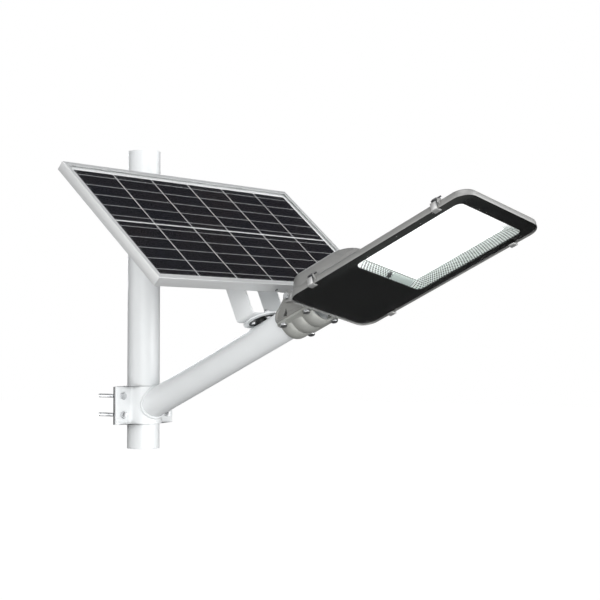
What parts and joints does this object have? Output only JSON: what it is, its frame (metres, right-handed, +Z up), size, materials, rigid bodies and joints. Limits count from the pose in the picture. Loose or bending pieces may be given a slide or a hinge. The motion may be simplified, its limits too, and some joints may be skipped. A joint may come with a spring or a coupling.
{
  "type": "solar street lamp",
  "caption": "Solar street lamp: angled tubular arm clamped to a pole, tilting solar panel on a forked bracket, and a flat glazed LED head on a cast knuckle.",
  "frame": {"origin": "on the pole's axis at the middle of the clamp's height", "axes": "+Z up along the pole, +X the way the arm leaves the pole, +Y along the solar panel's long side"},
  "size_m": [0.9744, 0.67, 0.637],
  "materials": {
    "white_paint": "gloss white powder coat",
    "cast_grey": "satin grey die casting",
    "housing_grey": "satin grey powder coat",
    "bright_steel": "zinc-plated steel",
    "dark_steel": "dark steel",
    "aluminium": "satin anodised",
    "clear_glass": "clear toughened glass",
    "black_print": "gloss black ceramic print",
    "silicon": "dark blue-black silicon cells",
    "white_sheet": "matt white laminate",
    "black_plastic": "matt black moulded plastic",
    "rubber": "matt black rubber",
    "reflector": "bright dimpled reflector",
    "lens": "glowing clear-white lens",
    "board": "white aluminium-backed board",
    "green_board": "green circuit board",
    "battery": "blue shrink wrap"
  },
  "bodies": {
    "pole": {"pole_section": "white_paint"},
    "arm": {"clamp_front": "white_paint", "clamp_rear": "white_paint", "clamp_bolt_left_upper": "bright_steel", "clamp_bolt_left_lower": "bright_steel", "clamp_bolt_right_upper": "bright_steel", "clamp_bolt_right_lower": "bright_steel", "clamp_nut_left_upper": "bright_steel", "clamp_nut_left_lower": "bright_steel", "clamp_nut_right_upper": "bright_steel", "clamp_nut_right_lower": "bright_steel", "arm_tube": "white_paint", "bracket_pedestal": "white_paint"},
    "yoke": {"panel_yoke": "white_paint", "swivel_bolt_1": "bright_steel", "swivel_bolt_2": "bright_steel", "swivel_bolt_3": "bright_steel", "tilt_bolt_left": "bright_steel", "tilt_bolt_right": "bright_steel"},
    "panel": {"panel_frame_lower": "aluminium", "panel_frame_upper": "aluminium", "panel_frame_left": "aluminium", "panel_frame_right": "aluminium", "panel_rail_left": "aluminium", "panel_rail_right": "aluminium", "panel_glass": "clear_glass", "cell_sheet": "silicon", "panel_backsheet": "white_sheet", "junction_box": "black_plastic", "junction_box_lid": "black_plastic", "junction_box_gland": "black_plastic"},
    "knuckle": {"knuckle_upper": "cast_grey", "knuckle_saddle": "cast_grey", "saddle_bolt_left_rear": "bright_steel", "saddle_bolt_left_front": "bright_steel", "saddle_bolt_right_rear": "bright_steel", "saddle_bolt_right_front": "bright_steel", "head_pivot_bolt_left": "bright_steel", "head_pivot_bolt_right": "bright_steel"},
    "head": {"lamp_housing": "housing_grey", "lamp_glass": "clear_glass", "glass_print": "black_print", "glass_gasket": "rubber", "reflector_tray": "reflector", "lens_plate": "lens", "led_board": "board", "battery_pack": "battery", "charge_controller": "green_board", "cable_gland": "black_plastic", "clip_screw_rear_left": "dark_steel", "clip_screw_rear_right": "dark_steel", "clip_screw_front_left": "dark_steel", "clip_screw_front_right": "dark_steel"},
    "clip_rear_left": {"clip_rear_left": "bright_steel"},
    "clip_rear_right": {"clip_rear_right": "bright_steel"},
    "clip_front_left": {"clip_front_left": "bright_steel"},
    "clip_front_right": {"clip_front_right": "bright_steel"}
  },
  "joints": [
    {"name": "arm_turn", "type": "hinge", "parent": "pole", "child": "arm", "pos_m": [0, 0, 0], "axis": [0, 0, 1], "range_deg": [-90, 90]},
    {"name": "panel_swivel", "type": "hinge", "parent": "arm", "child": "yoke", "pos_m": [0.3324, 0, 0.17884], "axis": [-0.4067, 0, 0.9135], "range_deg": [-15, 15]},
    {"name": "panel_tilt", "type": "hinge", "parent": "yoke", "child": "panel", "pos_m": [0.29356, 0, 0.26608], "axis": [0, 1, 0], "range_deg": [-12, 15]},
    {"name": "head_roll", "type": "hinge", "parent": "arm", "child": "knuckle", "pos_m": [0, 0, -0.0113], "axis": [0.9135, 0, 0.4067], "range_deg": [-30, 30]},
    {"name": "head_tilt", "type": "hinge", "parent": "knuckle", "child": "head", "pos_m": [0.43996, 0.00552, 0.21015], "axis": [0.0936, 0.9732, -0.2102], "range_deg": [-15, 8]},
    {"name": "clip_rear_left_swing", "type": "hinge", "parent": "head", "child": "clip_rear_left", "pos_m": [0.5486, -0.11892, 0.25135], "axis": [-0.9135, 0, -0.4067], "range_deg": [0, 95]},
    {"name": "clip_rear_right_swing", "type": "hinge", "parent": "head", "child": "clip_rear_right", "pos_m": [0.57098, 0.11386, 0.20108], "axis": [0.9135, 0, 0.4067], "range_deg": [0, 95]},
    {"name": "clip_front_left_swing", "type": "hinge", "parent": "head", "child": "clip_front_left", "pos_m": [0.81992, -0.11892, 0.37215], "axis": [-0.9135, 0, -0.4067], "range_deg": [0, 95]},
    {"name": "clip_front_right_swing", "type": "hinge", "parent": "head", "child": "clip_front_right", "pos_m": [0.8423, 0.11386, 0.32188], "axis": [0.9135, 0, 0.4067], "range_deg": [0, 95]}
  ]
}
